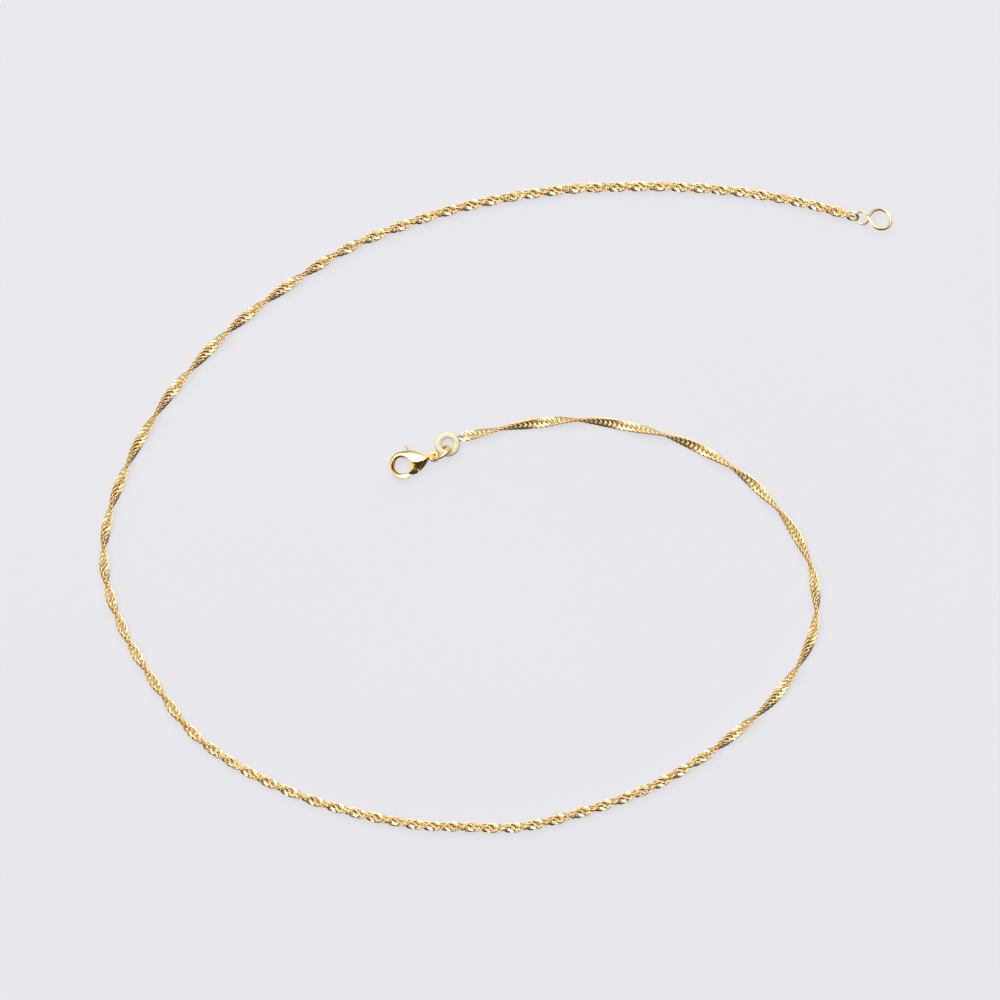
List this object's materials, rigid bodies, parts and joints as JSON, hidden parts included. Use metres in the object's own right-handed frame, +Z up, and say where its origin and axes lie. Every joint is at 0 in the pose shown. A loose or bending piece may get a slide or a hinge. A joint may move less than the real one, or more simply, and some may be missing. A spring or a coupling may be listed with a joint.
{
  "type": "singapore chain necklace",
  "caption": "Fine twisted double curb chain necklace, laid open on a flat surface, with a sprung lobster clasp at one end and a drop shaped end ring at the other.",
  "frame": {"origin": "bottom centre of the box round the necklace, on the surface that it lies on", "axes": "+X along the longest side of the laid out loop, +Y across it, +Z up from the surface"},
  "size_m": [0.1462, 0.1201, 0.0039],
  "materials": {
    "chain_gold": "polished and diamond cut yellow gold plate",
    "clasp_gold": "polished yellow gold plate",
    "lever_gold": "polished yellow gold plate on a stamped sheet lever",
    "tag_gold": "satin pale yellow gold plate",
    "ring_gold": "polished yellow gold plate on round wire"
  },
  "bodies": {
    "necklace": {"chain_clasp_half": "chain_gold", "chain_ring_half": "chain_gold", "clasp_body": "clasp_gold", "clasp_ring": "ring_gold", "tag_ring": "tag_gold", "end_ring": "ring_gold"},
    "lever": {"clasp_lever": "lever_gold"}
  },
  "joints": [
    {"name": "clasp_lever_hinge", "type": "hinge", "parent": "necklace", "child": "lever", "pos_m": [-0.01512, 0.00899, 0.00135], "axis": [0, 0, -1], "range_deg": [0, 28], "stiffness_Nm_per_rad": 0.005}
  ]
}
